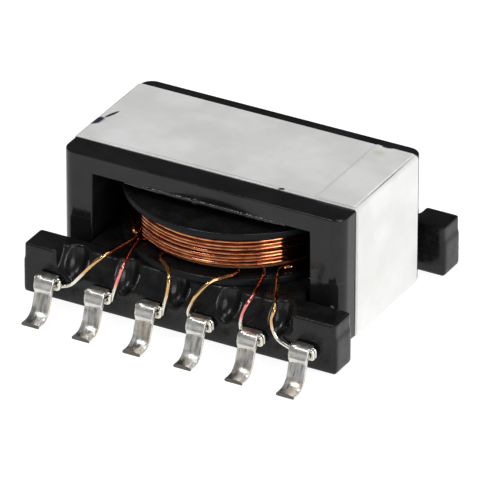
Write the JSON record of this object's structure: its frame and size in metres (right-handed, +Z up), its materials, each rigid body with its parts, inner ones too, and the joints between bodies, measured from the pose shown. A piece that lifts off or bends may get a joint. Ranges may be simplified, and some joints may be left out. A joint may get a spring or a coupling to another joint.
{
  "type": "printed circuit board transformer",
  "caption": "Low surface-mount transformer: a ferrite core closed round a wound coil former with comb rails, gull-wing terminals and a white core tape.",
  "frame": {"origin": "on the board under the middle of the core: the feet stand on z = 0 and the centre post is on the Z axis", "axes": "+Z up from the board, +X along the terminal rows, +Y from the front row (terminals 1 to 6) to the back row"},
  "size_m": [0.0122, 0.012, 0.0055],
  "materials": {
    "ferrite": "ground, satin",
    "adhesive": "cured adhesive",
    "moulding": "moulded, varnished",
    "tinned": "tinned",
    "solder": "reflowed solder",
    "copper_wire": "enamelled",
    "red_wire": "enamelled",
    "film": "clear film",
    "tape": "tape"
  },
  "bodies": {
    "root": {"core_lower": "ferrite", "core_upper": "ferrite", "core_adhesive_left": "adhesive", "core_adhesive_right": "adhesive", "coil_former": "moulding", "terminal_1": "tinned", "terminal_2": "tinned", "terminal_3": "tinned", "terminal_4": "tinned", "terminal_5": "tinned", "terminal_6": "tinned", "terminal_7": "tinned", "terminal_8": "tinned", "terminal_9": "tinned", "terminal_10": "tinned", "terminal_11": "tinned", "terminal_12": "tinned", "solder_1": "solder", "solder_2": "solder", "solder_3": "solder", "solder_4": "solder", "solder_5": "solder", "solder_6": "solder", "solder_7": "solder", "solder_8": "solder", "solder_9": "solder", "solder_10": "solder", "solder_11": "solder", "solder_12": "solder", "winding_1": "copper_wire", "winding_2": "copper_wire", "winding_3": "copper_wire", "winding_4": "copper_wire", "winding_5": "red_wire", "winding_6": "copper_wire", "insulation_1": "film", "insulation_2": "film", "insulation_3": "film", "insulation_4": "film", "insulation_5": "film", "core_tape": "tape"}
  },
  "joints": []
}
